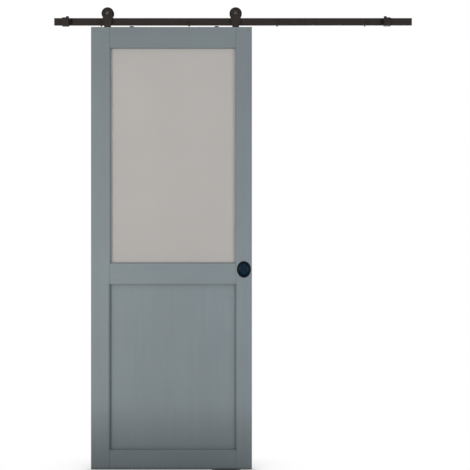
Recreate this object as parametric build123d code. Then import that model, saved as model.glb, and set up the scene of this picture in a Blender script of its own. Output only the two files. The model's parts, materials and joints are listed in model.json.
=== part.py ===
from build123d import *
import os
from math import cos, radians, sin

# Half glazed sliding door. A painted timber leaf hangs from two grooved wheels that roll on a
# flat steel bar, and the bar stands off the wall on four spacers.
# All sizes are in millimetres. X runs along the wall, Y runs from the room towards the wall,
# and Z is up. The origin is on the face of the wall, in the middle of the row of wall bolts.

# Track bar
bar_length = 1656
bar_height = 34
bar_thickness = 6
bar_edge_radius = 0.8

# Wall bolts, their washers and the spacers between the bar and the wall
bolt_count = 4
spacer_length = 27
bolt_radius = 4
bolt_thread_radius = 3.8
bolt_in_wall = 55
bolt_tip_length = 8
bolt_head_width = 13
bolt_head_height = 4.3
washer_thickness = 1.5
bolt_hole_clearance = 0.25
spacer_edge = 0.6

# Grooved wheels
tread_radius = 20
flange_depth = 8.5
flange_edge_radius = 1.2
wheel_width = 18
groove_side_gap = 0.7
groove_flare = 1
roll_gap = 0.3
pass_gap = 0.8
wheel_bore_lip = 3.5
wheel_dish_depth = 1.5
wheel_dish_rim = 2.5

# Ball bearing in each wheel, and the axle through it
axle_radius = 5
bearing_radius = 13
bearing_width = 8
bearing_edge = 0.4
ball_radius = 2.6
ball_count = 8
race_land = 1.5
race_gap = 0.05
press_gap = 0.02
axle_gap = 0.05
sleeve_wall = 2
nut_width = 16
nut_height = 6
axle_end = 1.5
axle_head_radius = 8
axle_head_height = 4
axle_head_round = 2.6
socket_width = 5
socket_depth = 2.4
cap_washer_radius = 13.5
cap_washer_thickness = 2
cap_washer_round = 1.2

# Hanger straps, bent back under the bar and screwed to the top of the leaf
strap_thickness = 5
strap_width = 44
strap_gap = 1
strap_edge = 0.6
foot_width = 31
foot_length = 30
foot_corner_radius = 6
bend_radius = 3
hanger_inset = 75
foot_screw_offset = 6
foot_screw_stagger = 7

# End stops clamped round the bar, with rubber bumpers
stop_length = 30
stop_left_inset = 52.5
stop_right_inset = 114.5
stop_wall = 3
stop_back_wall = 6
stop_clearance = 0.2
stop_front_chamfer = 5
stop_back_chamfer = 1.5
stop_boss_radius = 6.7
stop_boss_height = 6.5
grub_radius = 3
grub_socket_width = 3
grub_socket_depth = 2
bumper_length = 13.5
bumper_height = 28
bumper_round = 2.5
bumper_bar_gap = 1.5
bumper_stem_radius = 2.5
bumper_stem_length = 7

# Leaf
leaf_width = 742
leaf_height = 2040
leaf_thickness = 40
leaf_x = -284
leaf_top_gap = 11
leaf_edge_radius = 1.5
stile_left_width = 86
rail_top_height = 95
rail_middle_height = 98
rail_bottom_height = 89
glass_opening_height = 996
glass_bevel = 3
panel_bevel = 4.5
joint_line = 0.5

# Dowels in the joints between the rails and the stiles
dowel_radius = 5
dowel_length = 70
dowel_inset = 30
dowel_gap = 0.05

# Lower panel, loose in a groove
panel_thickness = 10
panel_groove_depth = 12
panel_side_gap = 0.15
panel_edge_gap = 2

# Glass, its seal, setting blocks, beads and pins
glass_thickness = 6
glass_recess = 15
glass_edge = 0.5
rebate_width = 12
glass_edge_gap = 2
seal_thickness = 1
setting_block_length = 60
bead_bevel = 6
pin_radius = 0.7
pin_head_radius = 1.1
pin_head_height = 0.6
pin_length = 25
pin_depth = 6
pins_per_side = 4
pins_per_end = 3

# Oval flush pull let into the right stile
pull_width = 64
pull_length = 76
pull_margin = 5
pull_above_floor = 930
pull_flange = 2
pull_flange_round = 1.4
pull_wall = 1.8
pull_rim = 6
pull_dish_draft = 4
pull_dish_round = 4
pull_floor = 1.8
pocket_gap = 0.3
pocket_web = 1.5
pull_screw_offset = 17

# Guide on the floor, running in a groove under the leaf
floor_gap = 8
guide_fin_length = 100
guide_fin_thickness = 5
guide_groove_gap = 0.7
guide_groove_depth = 18
guide_fin_clearance = 5
guide_base_thickness = 3
guide_base_width = 30
guide_base_overhang = 16
guide_root_radius = 1.5
guide_corner_radius = 5
guide_thread_radius = 2.2
guide_screw_length = 32

# Countersunk screws: head radius, shank radius, length
foot_screw = (4, 2, 28)
disc_screw = (3.6, 1.75, 30)
pull_screw = (2.6, 1.25, 12)
guide_screw = (4.5, 2.4, guide_base_thickness)
screw_tip = 5
screw_gap = 0.05

# Discs on the leaf that keep the wheels on the bar
disc_positions = (-185, 208)
disc_radius = 11
disc_height = 7
disc_round = 3

# Directions
TO_WALL = (0, 1, 0)
TO_ROOM = (0, -1, 0)
DOWN = (0, 0, -1)
LEFT = (-1, 0, 0)
RIGHT = (1, 0, 0)

# Planes of the track
bar_y = -(spacer_length + bar_thickness / 2)
bar_front = bar_y - bar_thickness / 2
bar_back = bar_y + bar_thickness / 2
bar_top = bar_height / 2
bar_bottom = -bar_height / 2
wheel_z = bar_top + roll_gap + tread_radius
flange_radius = tread_radius + flange_depth
spacer_radius = bar_top + roll_gap - flange_depth - pass_gap
bolt_under_head = bar_front - washer_thickness
bolt_head_front = bolt_under_head - bolt_head_height
bolt_xs = [(i - (bolt_count - 1) / 2) * bar_length / bolt_count for i in range(bolt_count)]

# Planes of the hangers: the strap clears both the wheel and the heads of the wall bolts
wheel_front = bar_y - wheel_width / 2
strap_back = min(wheel_front - strap_gap, bolt_head_front - strap_gap)
strap_front = strap_back - strap_thickness
wheel_back = bar_y + wheel_width / 2

# Planes of the leaf
leaf_front = bar_y - leaf_thickness / 2
leaf_back = bar_y + leaf_thickness / 2
leaf_top = bar_bottom - leaf_top_gap
leaf_bottom = leaf_top - leaf_height
floor_z = leaf_bottom - floor_gap
leaf_left = leaf_x - leaf_width / 2
leaf_right = leaf_x + leaf_width / 2
stile_right_width = pull_width + 2 * pull_margin
joint_left = leaf_left + stile_left_width
joint_right = leaf_right - stile_right_width
glass_top = leaf_top - rail_top_height
glass_bottom = glass_top - glass_opening_height
panel_top = glass_bottom - rail_middle_height
panel_bottom = leaf_bottom + rail_bottom_height
hanger_xs = {"left": leaf_left + hanger_inset, "right": leaf_right - hanger_inset}

# The sight lines are the edges that the glass is seen between, inside the sloped moulding
sight_x = (joint_left + glass_bevel, joint_right - glass_bevel)
sight_z = (glass_bottom + glass_bevel, glass_top - glass_bevel)

# Planes of the glazing and the lower panel
seal_front = leaf_front + glass_recess
glass_front = seal_front + seal_thickness
glass_back = glass_front + glass_thickness
panel_front = bar_y - panel_thickness / 2
panel_back = bar_y + panel_thickness / 2

# Flush pull
pull_x = leaf_right - stile_right_width / 2
pull_z = floor_z + pull_above_floor
pocket_floor = bar_y - dowel_radius - pocket_web

# End stops, bumpers and the travel that they allow
stop_xs = {
    "left": -bar_length / 2 + stop_left_inset,
    "right": bar_length / 2 - stop_right_inset,
}
inward = {"left": 1, "right": -1}
bumper_reach = stop_length / 2 + bumper_length
travel_left = (hanger_xs["left"] - strap_width / 2) - (stop_xs["left"] + bumper_reach)
travel_right = (stop_xs["right"] - bumper_reach) - (hanger_xs["right"] + strap_width / 2)
guide_x = leaf_x + (travel_right - travel_left) / 2


def save(name, *solids):
    """Write one piece, or a group of like pieces, to its own file."""
    shape = solids[0] if len(solids) == 1 else Compound(list(solids))
    export_step(shape, f"parts/{name}.step")


def block(x, y, z):
    """Box between two corners, with a (low, high) pair for each direction."""
    size = [high - low for low, high in (x, y, z)]
    middle = [(high + low) / 2 for low, high in (x, y, z)]
    return Pos(*middle) * Box(*size)


def around(low, high, more):
    """A pair of limits moved apart by the same amount at both ends."""
    return low - more, high + more


def turned(*outline):
    """Solid turned about its own Z axis from (radius, height) points."""
    face = Plane.XZ * make_face(Polyline(*outline, close=True))
    return revolve(face, Axis.Z)


def aim(shape, at, towards):
    """Put a shape with its own Z axis pointing in a direction."""
    return Plane(origin=at, z_dir=towards) * shape


def ring(inner, outer, low, high, edge=0):
    """Flat ring or tube along Z, with its outer edges broken."""
    if not edge:
        return turned((inner, low), (outer, low), (outer, high), (inner, high))
    return turned(
        (inner, low),
        (outer - edge, low),
        (outer, low + edge),
        (outer, high - edge),
        (outer - edge, high),
        (inner, high),
    )


def hexagon(width, low, high):
    """Hexagonal prism along Z, measured across its flats."""
    face = RegularPolygon(width / 2, 6, major_radius=False)
    return Pos(0, 0, low) * extrude(face, high - low)


def screw(size, grow=0):
    """Countersunk wood screw with its head face at height 0, or its hole when grown."""
    head, shank, length = size
    return turned(
        (0, 0),
        (head + grow, 0),
        (shank + grow, head - shank),
        (shank + grow, length - screw_tip),
        (0, length),
    )


def hex_head(width, height):
    """Hexagonal bolt head below height 0, with its outer corners turned off."""
    corner = width / 2 / cos(radians(30))
    limit = turned((0, 0), (corner, 0), (corner, 0.3 - height), (width / 2, -height), (0, -height))
    return hexagon(width, -height, 0) & limit


def track_bar():
    bar = block((-bar_length / 2, bar_length / 2), (bar_front, bar_back), (bar_bottom, bar_top))
    bar = fillet(bar.edges().filter_by(Axis.X), bar_edge_radius)
    for x in bolt_xs:
        bar -= aim(Cylinder(bolt_radius + bolt_hole_clearance, 3 * bar_thickness), (x, bar_y, 0), TO_WALL)
    return bar


def wall_bolt(x):
    wall = -bolt_under_head
    body = turned(
        (0, 0),
        (bolt_radius, 0),
        (bolt_radius, wall),
        (bolt_thread_radius, wall),
        (bolt_thread_radius, wall + bolt_in_wall - bolt_tip_length),
        (0, wall + bolt_in_wall),
    )
    return aim(body + hex_head(bolt_head_width, bolt_head_height), (x, bolt_under_head, 0), TO_WALL)


def wall_washer(x):
    washer = ring(bolt_radius + bolt_hole_clearance, spacer_radius, 0, washer_thickness)
    return aim(washer, (x, bolt_under_head, 0), TO_WALL)


def wall_spacer(x):
    tube = ring(bolt_radius + bolt_hole_clearance, spacer_radius, 0, spacer_length, spacer_edge)
    return aim(tube, (x, bar_back, 0), TO_WALL)


def save_track():
    save("track_bar", track_bar())
    for number, x in enumerate(bolt_xs, 1):
        save(f"wall_spacer_{number}", wall_spacer(x))
    save("wall_bolts", *[wall_bolt(x) for x in bolt_xs])
    save("wall_washers", *[wall_washer(x) for x in bolt_xs])


def stop_collar(side):
    """Collar round the bar, with a boss on top for one grub screw and another in front."""
    x = stop_xs[side]
    limits = (x - stop_length / 2, x + stop_length / 2)
    upright = (bar_bottom - stop_clearance - stop_wall, bar_top + stop_clearance + stop_wall / 2)
    back = bar_back + stop_clearance + stop_back_wall
    collar = block(limits, (strap_front, back), upright)
    long_edges = collar.edges().filter_by(Axis.X)
    collar = chamfer(long_edges.group_by(Axis.Y)[0], stop_front_chamfer)
    collar = chamfer(collar.edges().filter_by(Axis.X).group_by(Axis.Y)[-1], stop_back_chamfer)
    boss_at = (boss_x(side), bar_y, boss_top() - stop_boss_height / 2)
    collar += aim(Cylinder(stop_boss_radius, stop_boss_height), boss_at, DOWN)
    collar -= block(
        around(*limits, 1),
        around(bar_front, bar_back, stop_clearance),
        around(bar_bottom, bar_top, stop_clearance),
    )
    for grub in stop_grubs(side, screw_gap):
        collar -= grub
    collar -= bumper_stem(side, screw_gap)
    return collar


def boss_x(side):
    """The boss stands at the end of the collar nearest the leaf."""
    return stop_xs[side] + inward[side] * (stop_length / 2 - stop_boss_radius)


def boss_top():
    return bar_top + stop_clearance + stop_wall / 2 + stop_boss_height


def grub(length, grow):
    """Headless screw with its point at height 0 and a hexagon socket in its end."""
    body = Pos(0, 0, length / 2) * Cylinder(grub_radius + grow, length)
    if grow:
        return body
    return body - hexagon(grub_socket_width, length - grub_socket_depth, length)


def stop_grubs(side, grow=0):
    """One screw bears on the top of the bar and one on its front face."""
    top = grub(boss_top() - bar_top, grow)
    front = grub(bar_front - strap_front, grow)
    front_x = stop_xs[side] - inward[side] * stop_length / 4
    return [
        Pos(boss_x(side), bar_y, bar_top) * top,
        aim(front, (front_x, bar_front, 0), TO_ROOM),
    ]


def bumper_y():
    """Middle of the bumper, between the bar and the front of the hanger strap."""
    return (bar_front - bumper_bar_gap + strap_front) / 2


def bumper_stem(side, grow=0):
    face = stop_xs[side] + inward[side] * stop_length / 2
    towards = LEFT if side == "left" else RIGHT
    stem = Pos(0, 0, bumper_stem_length / 2) * Cylinder(bumper_stem_radius + grow, bumper_stem_length)
    return aim(stem, (face, bumper_y(), 0), towards)


def bumper(side):
    """Rubber pad on the collar, rounded where the hanger strap meets it."""
    face = stop_xs[side] + inward[side] * stop_length / 2
    nose = face + inward[side] * bumper_length
    pad = block(
        sorted((face, nose)),
        (strap_front, bar_front - bumper_bar_gap),
        (-bumper_height / 2, bumper_height / 2),
    )
    nose_edges = pad.faces().sort_by(Axis.X)[-1 if side == "left" else 0].edges()
    return fillet(nose_edges, bumper_round) + bumper_stem(side)


def save_stops():
    grubs = []
    for side in stop_xs:
        save(f"end_stop_{side}", stop_collar(side))
        save(f"bumper_{side}", bumper(side))
        grubs += stop_grubs(side)
    save("stop_screws", *grubs)


def wheel():
    """Grooved wheel about Z, with height 0 in its middle and the bearing put in from behind."""
    half = wheel_width / 2
    groove = bar_thickness / 2 + groove_side_gap
    mouth = groove + groove_flare
    seat = bearing_radius + press_gap
    bore = bearing_radius - wheel_bore_lip
    body = turned(
        (bore, -half),
        (bore, -bearing_width / 2),
        (seat, -bearing_width / 2),
        (seat, half),
        (flange_radius, half),
        (flange_radius, mouth),
        (tread_radius, groove),
        (tread_radius, -groove),
        (flange_radius, -mouth),
        (flange_radius, -half),
    )
    rims = [edge for edge in body.edges().filter_by(GeomType.CIRCLE) if edge.radius > flange_radius - 0.01]
    body = fillet(rims, flange_edge_radius)
    inner = seat + wheel_dish_rim
    outer = flange_radius - wheel_dish_rim
    slope = wheel_dish_depth / 2
    for face in (-half, half):
        floor = face * (1 - wheel_dish_depth / half)
        body -= turned(
            (inner, face),
            (inner + slope, floor),
            (outer - slope, floor),
            (outer, face),
        )
    return body


def bearing_pieces():
    """Outer ring, inner ring and balls about Z, with a running gap at the balls."""
    half = bearing_width / 2
    pitch = (axle_radius + bearing_radius) / 2
    race = Torus(pitch, ball_radius + race_gap)
    outer = ring(pitch + race_land, bearing_radius, -half, half, bearing_edge) - race
    inner = ring(axle_radius + axle_gap, pitch - race_land, -half, half) - race
    balls = []
    for i in range(ball_count):
        angle = radians(360 * i / ball_count)
        balls.append(Pos(pitch * cos(angle), pitch * sin(angle), 0) * Sphere(ball_radius))
    return outer, inner, balls


def strap(side):
    """Flat strap with a round head, bent back at its foot, drilled for the axle and two screws."""
    x = hanger_xs[side]
    head = strap_width / 2
    section = make_face(
        Polyline(
            (strap_front, leaf_top),
            (strap_front + foot_length, leaf_top),
            (strap_front + foot_length, leaf_top + strap_thickness),
            (strap_back, leaf_top + strap_thickness),
            (strap_back, wheel_z + head),
            (strap_front, wheel_z + head),
            close=True,
        )
    )
    section = fillet(corner(section, strap_back, leaf_top + strap_thickness), bend_radius)
    section = fillet(corner(section, strap_front, leaf_top), bend_radius + strap_thickness)
    bent = extrude(Plane.YZ * section, head, both=True)
    body = bent & extrude(Plane.XZ * strap_outline(), 2 * leaf_thickness, both=True)
    toe = body.edges().filter_by(Axis.Z).group_by(Axis.Y)[-1]
    body = fillet(toe, foot_corner_radius)
    head_edges = body.faces().sort_by(Axis.Y)[0].edges().sort_by(Axis.Z)[-3:]
    body = chamfer(head_edges, strap_edge)
    body -= aim(Cylinder(axle_radius + axle_gap, leaf_thickness), (0, strap_front, wheel_z), TO_WALL)
    for hole in foot_screws("left", screw_gap):
        body -= Pos(-hanger_xs["left"], 0, 0) * hole
    return Pos(x, 0, 0) * body


def corner(face, across, up):
    """The corner of a flat outline nearest to a point."""
    return face.vertices().sort_by_distance((across, up, 0))[0]


def strap_outline():
    """Front view of the strap: round head, straight cheeks, then a taper down to the foot."""
    head = strap_width / 2
    foot = foot_width / 2
    shoulder = bumper_height / 2
    outline = [
        Line((head, wheel_z), (head, shoulder)),
        Line((head, shoulder), (foot, leaf_top + strap_thickness)),
        Line((foot, leaf_top + strap_thickness), (foot, leaf_top)),
        Line((foot, leaf_top), (-foot, leaf_top)),
        Line((-foot, leaf_top), (-foot, leaf_top + strap_thickness)),
        Line((-foot, leaf_top + strap_thickness), (-head, shoulder)),
        Line((-head, shoulder), (-head, wheel_z)),
        ThreePointArc((-head, wheel_z), (0, wheel_z + head), (head, wheel_z)),
    ]
    return make_face(outline)


def foot_screws(side, grow=0):
    """Two screws set on the diagonal of the foot, heads flush with its top."""
    found = []
    middle = strap_front + foot_length / 2 + bend_radius
    for way in (-1, 1):
        at = (
            hanger_xs[side] + way * foot_screw_offset,
            middle + way * foot_screw_stagger,
            leaf_top + strap_thickness,
        )
        found.append(aim(screw(foot_screw, grow), at, DOWN))
    return found


def axle_bolt():
    """Bolt along Z with the face of the cap washer at height 0 and a domed socket head."""
    head = Pos(0, 0, -axle_head_height / 2) * Cylinder(axle_head_radius, axle_head_height)
    head = fillet(head.edges().sort_by(Axis.Z)[0], axle_head_round)
    head -= hexagon(socket_width, -axle_head_height, socket_depth - axle_head_height)
    front = strap_front - cap_washer_thickness
    length = wheel_back + strap_gap + nut_height + axle_end - front
    return head + Pos(0, 0, length / 2) * Cylinder(axle_radius, length)


def cap_washer():
    washer = ring(axle_radius + axle_gap, cap_washer_radius, 0, cap_washer_thickness)
    outer = [edge for edge in washer.edges().sort_by(Axis.Z)[:2] if edge.radius > axle_radius * 2]
    return fillet(outer, cap_washer_round)


def axle_nut():
    return hexagon(nut_width, 0, nut_height) - Cylinder(axle_radius + axle_gap, 3 * nut_height)


def axle_sleeves(x):
    """Sleeves that hold the inner ring between the strap and the nut."""
    bore = axle_radius + axle_gap
    front = ring(bore, bore + sleeve_wall, 0, bar_y - bearing_width / 2 - strap_back)
    back = ring(bore, bore + sleeve_wall, 0, wheel_back + strap_gap - bar_y - bearing_width / 2)
    return [
        aim(front, (x, strap_back, wheel_z), TO_WALL),
        aim(back, (x, bar_y + bearing_width / 2, wheel_z), TO_WALL),
    ]


def save_hangers():
    outer, inner, balls = bearing_pieces()
    sleeves = []
    screws = []
    for side, x in hanger_xs.items():
        centre = (x, bar_y, wheel_z)
        save(f"wheel_{side}", aim(wheel(), centre, TO_WALL))
        save(f"bearing_outer_ring_{side}", aim(outer, centre, TO_WALL))
        save(f"bearing_inner_ring_{side}", aim(inner, centre, TO_WALL))
        save(f"bearing_balls_{side}", *[aim(ball, centre, TO_WALL) for ball in balls])
        save(f"hanger_{side}", strap(side))
        cap_front = strap_front - cap_washer_thickness
        save(f"cap_washer_{side}", aim(cap_washer(), (x, cap_front, wheel_z), TO_WALL))
        save(f"axle_bolt_{side}", aim(axle_bolt(), (x, cap_front, wheel_z), TO_WALL))
        save(f"axle_nut_{side}", aim(axle_nut(), (x, wheel_back + strap_gap, wheel_z), TO_WALL))
        sleeves += axle_sleeves(x)
        screws += foot_screws(side)
    save("axle_sleeves", *sleeves)
    save("hanger_screws", *screws)


def bevel_cutter(x, z, face, deep):
    """Tapered cutter that slopes the edge of an opening, wide at a face and narrow inside it."""
    wide = Plane.XZ.offset(-face)
    narrow = Plane.XZ.offset(-deep)
    middle = ((x[0] + x[1]) / 2, (z[0] + z[1]) / 2)
    size = (x[1] - x[0], z[1] - z[0])
    more = 2 * abs(deep - face)
    big = wide * Pos(*middle) * Rectangle(size[0] + more, size[1] + more)
    small = narrow * Pos(*middle) * Rectangle(*size)
    return loft([big, small])


def dowels(grow=0):
    """Two dowels in each joint between a rail and a stile."""
    found = []
    rails = ((glass_top, leaf_top), (panel_top, glass_bottom), (leaf_bottom, panel_bottom))
    for low, high in rails:
        for z in (low + dowel_inset, high - dowel_inset):
            for x in (joint_left, joint_right):
                dowel = Cylinder(dowel_radius + grow, dowel_length + 2 * grow)
                found.append(aim(dowel, (x, bar_y, z), RIGHT))
    return found


def bead_pins(grow=0):
    """Pins driven through the glazing beads into the stiles and rails."""
    x = sight_x
    z = sight_z
    y = glass_back + pin_depth
    found = []
    for i in range(pins_per_side):
        up = z[0] + (i + 0.5) * (z[1] - z[0]) / pins_per_side
        found.append(aim(bead_pin(grow), (x[0], y, up), LEFT))
        found.append(aim(bead_pin(grow), (x[1], y, up), RIGHT))
    for i in range(pins_per_end):
        across = x[0] + (i + 0.5) * (x[1] - x[0]) / pins_per_end
        found.append(aim(bead_pin(grow), (across, y, z[0]), DOWN))
        found.append(Pos(across, y, z[1]) * bead_pin(grow))
    return found


def bead_pin(grow):
    return turned(
        (0, 0),
        (pin_head_radius + grow, 0),
        (pin_head_radius + grow, pin_head_height),
        (pin_radius + grow, pin_head_height),
        (pin_radius + grow, pin_length),
        (0, pin_length),
    )


def joint_grooves():
    """Fine V grooves on both faces, where the rails meet the stiles."""
    side = joint_line * 2**0.5
    found = []
    for low, high in ((glass_top, leaf_top), (panel_top, glass_bottom), (leaf_bottom, panel_bottom)):
        for x in (joint_left, joint_right):
            for y in (leaf_front, leaf_back):
                found.append(Pos(x, y, (low + high) / 2) * Rot(0, 0, 45) * Box(side, side, high - low))
    return found


def leaf_frame():
    """Stiles and rails still in one piece, with every opening, groove and hole cut."""
    frame = block((leaf_left, leaf_right), (leaf_front, leaf_back), (leaf_bottom, leaf_top))
    frame = fillet(frame.edges(), leaf_edge_radius)
    through = around(leaf_front, leaf_back, 1)
    frame -= block(sight_x, through, sight_z)
    frame -= bevel_cutter(sight_x, sight_z, leaf_front, leaf_front + glass_bevel)
    frame -= block(
        around(*sight_x, rebate_width),
        (seal_front, leaf_back + 1),
        around(*sight_z, rebate_width),
    )
    panel_x = (joint_left, joint_right)
    panel_z = (panel_bottom, panel_top)
    frame -= block(panel_x, through, panel_z)
    frame -= bevel_cutter(panel_x, panel_z, leaf_front, leaf_front + panel_bevel)
    frame -= bevel_cutter(panel_x, panel_z, leaf_back, leaf_back - panel_bevel)
    frame -= block(
        around(*panel_x, panel_groove_depth),
        around(panel_front, panel_back, panel_side_gap),
        around(*panel_z, panel_groove_depth),
    )
    frame -= block(
        around(leaf_left, leaf_right, 1),
        around(bar_y, bar_y, guide_fin_thickness / 2 + guide_groove_gap),
        (leaf_bottom - 1, leaf_bottom + guide_groove_depth),
    )
    frame -= pull_pocket()
    for cutter in joint_grooves() + dowels(dowel_gap) + bead_pins(screw_gap):
        frame -= cutter
    for side in hanger_xs:
        for cutter in foot_screws(side, screw_gap):
            frame -= cutter
    for cutter in disc_screws(screw_gap) + pull_screws(screw_gap):
        frame -= cutter
    return frame


def stile_blank(edge, joint, sight):
    """Room that a stile fills: its full height, and its share of the moulding round the glass."""
    y = around(leaf_front, leaf_back, 1)
    stile = block(sorted((edge, joint)), y, around(leaf_bottom, leaf_top, 1))
    return stile + block(sorted((joint, sight)), y, sight_z)


def save_frame():
    frame = leaf_frame()
    y = around(leaf_front, leaf_back, 1)
    middle = (joint_left, joint_right)
    save("stile_left", frame & stile_blank(leaf_left - 1, joint_left, sight_x[0]))
    save("stile_right", frame & stile_blank(leaf_right + 1, joint_right, sight_x[1]))
    save("rail_top", frame & block(middle, y, (sight_z[1], leaf_top + 1)))
    save("rail_middle", frame & block(middle, y, (panel_top - 1, sight_z[0])))
    save("rail_bottom", frame & block(middle, y, (leaf_bottom - 1, panel_bottom + 1)))
    save("frame_dowels", *dowels())


def lower_panel():
    """Flat panel that stands on the floor of its groove, with room to move at the other edges."""
    tongue = panel_groove_depth - panel_edge_gap
    return block(
        around(joint_left, joint_right, tongue),
        (panel_front, panel_back),
        (panel_bottom - panel_groove_depth, panel_top + tongue),
    )


def glass_limits():
    cover = rebate_width - glass_edge_gap
    return around(*sight_x, cover), around(*sight_z, cover)


def glass_pane():
    x, z = glass_limits()
    pane = block(x, (glass_front, glass_back), z)
    return chamfer(pane.edges(), glass_edge)


def glazing_seal():
    x, z = glass_limits()
    y = (seal_front, glass_front)
    return block(x, y, z) - block(sight_x, around(*y, 1), sight_z)


def setting_blocks():
    """Two rubber blocks under the glass, a quarter of the way in from each end."""
    width = joint_right - joint_left
    found = []
    for x in (joint_left + width / 4, joint_right - width / 4):
        found.append(
            block(
                around(x, x, setting_block_length / 2),
                (glass_front, glass_back),
                (sight_z[0] - rebate_width, sight_z[0] - rebate_width + glass_edge_gap),
            )
        )
    return found


def bead_ring():
    """All four glazing beads in one piece, with a sloping back edge."""
    x = sight_x
    z = sight_z
    y = (glass_back, leaf_back)
    beads = block(around(*x, rebate_width), y, around(*z, rebate_width))
    beads -= block(x, around(*y, 1), z)
    beads -= bevel_cutter(x, z, leaf_back, leaf_back - bead_bevel)
    for pin in bead_pins(screw_gap):
        beads -= pin
    return beads


def mitre(name):
    """Block that keeps one bead of the ring, with its ends cut at 45 degrees."""
    x = sight_x
    z = sight_z
    far_x = around(*x, rebate_width)
    far_z = around(*z, rebate_width)
    corners = {
        "left": ((far_x[0], far_z[0]), (x[0], z[0]), (x[0], z[1]), (far_x[0], far_z[1])),
        "right": ((far_x[1], far_z[0]), (x[1], z[0]), (x[1], z[1]), (far_x[1], far_z[1])),
        "bottom": ((far_x[0], far_z[0]), (x[0], z[0]), (x[1], z[0]), (far_x[1], far_z[0])),
        "top": ((far_x[0], far_z[1]), (x[0], z[1]), (x[1], z[1]), (far_x[1], far_z[1])),
    }
    face = make_face(Polyline(*corners[name], close=True))
    return extrude(Plane.XZ * face, 2 * spacer_length + leaf_thickness, both=True)


def save_glazing():
    save("lower_panel", lower_panel())
    save("glass_pane", glass_pane())
    save("glazing_seal", glazing_seal())
    save("setting_blocks", *setting_blocks())
    beads = bead_ring()
    for name in ("left", "right", "top", "bottom"):
        save(f"glazing_bead_{name}", beads & mitre(name))
    save("bead_pins", *bead_pins())


def oval(width, length, y):
    """Oval outline of the flush pull at a given depth."""
    return Plane.XZ.offset(-y) * Pos(pull_x, pull_z) * Ellipse(width / 2, length / 2)


def pull_pocket():
    """Pocket in the stile for the cup of the pull."""
    cup = (pull_width - 2 * pull_rim, pull_length - 2 * pull_rim)
    outline = oval(cup[0] + 2 * pocket_gap, cup[1] + 2 * pocket_gap, pocket_floor)
    return extrude(outline, pocket_floor - leaf_front + 1)


def flush_pull():
    """One casting: a flat rim on the face of the stile and a smooth dish let into it."""
    rim_front = leaf_front - pull_flange
    cup_back = pocket_floor - pocket_gap
    dish_floor = cup_back - pull_floor
    rim = extrude(oval(pull_width, pull_length, leaf_front), pull_flange)
    rim = fillet(rim.faces().sort_by(Axis.Y)[0].edges(), pull_flange_round)
    cup = (pull_width - 2 * pull_rim, pull_length - 2 * pull_rim)
    body = rim + extrude(oval(*cup, cup_back), cup_back - leaf_front)
    mouth = (cup[0] - 2 * pull_wall, cup[1] - 2 * pull_wall)
    floor = (mouth[0] - 2 * pull_dish_draft, mouth[1] - 2 * pull_dish_draft)
    dish = loft([oval(*floor, dish_floor), oval(*mouth, rim_front)])
    dish = fillet(dish.faces().sort_by(Axis.Y)[-1].edges(), pull_dish_round)
    body -= dish
    for hole in pull_screws(screw_gap):
        body -= hole
    return body


def pull_screws(grow=0):
    """Two small screws through the floor of the dish, one above the other."""
    y = pocket_floor - pocket_gap - pull_floor
    places = (pull_z - pull_screw_offset, pull_z + pull_screw_offset)
    return [aim(screw(pull_screw, grow), (pull_x, y, z), TO_WALL) for z in places]


def save_pull():
    save("flush_pull", flush_pull())
    save("pull_screws", *pull_screws())


def retaining_disc(x):
    disc = Pos(x, bar_y, leaf_top + disc_height / 2) * Cylinder(disc_radius, disc_height)
    disc = fillet(disc.edges().sort_by(Axis.Z)[-1], disc_round)
    for hole in disc_screws(screw_gap):
        disc -= hole
    return disc


def disc_screws(grow=0):
    top = leaf_top + disc_height
    return [aim(screw(disc_screw, grow), (leaf_x + x, bar_y, top), DOWN) for x in disc_positions]


def save_discs():
    for side, x in zip(("left", "right"), disc_positions):
        save(f"retaining_disc_{side}", retaining_disc(leaf_x + x))
    save("retaining_disc_screws", *disc_screws())


def floor_guide():
    """Tee section guide: a plate screwed to the floor and a fin that stands in the groove."""
    half = guide_fin_length / 2
    base_top = floor_z + guide_base_thickness
    fin_top = leaf_bottom + guide_groove_depth - guide_fin_clearance
    base = block(
        around(guide_x, guide_x, half + guide_base_overhang),
        around(bar_y, bar_y, guide_base_width / 2),
        (floor_z, base_top),
    )
    base = fillet(base.edges().filter_by(Axis.Z), guide_corner_radius)
    fin = block(
        around(guide_x, guide_x, half),
        around(bar_y, bar_y, guide_fin_thickness / 2),
        (base_top, fin_top),
    )
    fin = fillet(fin.edges().filter_by(Axis.Z), guide_fin_thickness / 2 - 0.1)
    guide = base + fin
    roots = guide.edges().filter_by_position(Axis.Z, base_top, base_top)
    close = guide_fin_thickness / 2 + 0.1
    guide = fillet(roots.filter_by_position(Axis.Y, bar_y - close, bar_y + close), guide_root_radius)
    for hole in guide_screws(screw_gap):
        guide -= hole
    return guide


def guide_screws(grow=0):
    """Screws at the ends of the base, heads flush and threads down into the floor."""
    head, shank, plate = guide_screw
    reach = guide_fin_length / 2 + guide_base_overhang / 2
    found = []
    for way in (-1, 1):
        body = turned(
            (0, 0),
            (head + grow, 0),
            (shank + grow, head - shank),
            (shank + grow, plate),
            (guide_thread_radius, plate),
            (guide_thread_radius, guide_screw_length - screw_tip),
            (0, guide_screw_length),
        )
        found.append(aim(body, (guide_x + way * reach, bar_y, floor_z + plate), DOWN))
    return found


def save_guide():
    save("floor_guide", floor_guide())
    save("floor_guide_screws", *guide_screws())


os.makedirs("parts", exist_ok=True)
save_track()
save_stops()
save_hangers()
save_frame()
save_glazing()
save_pull()
save_discs()
save_guide()
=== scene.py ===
import json
import math

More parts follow.
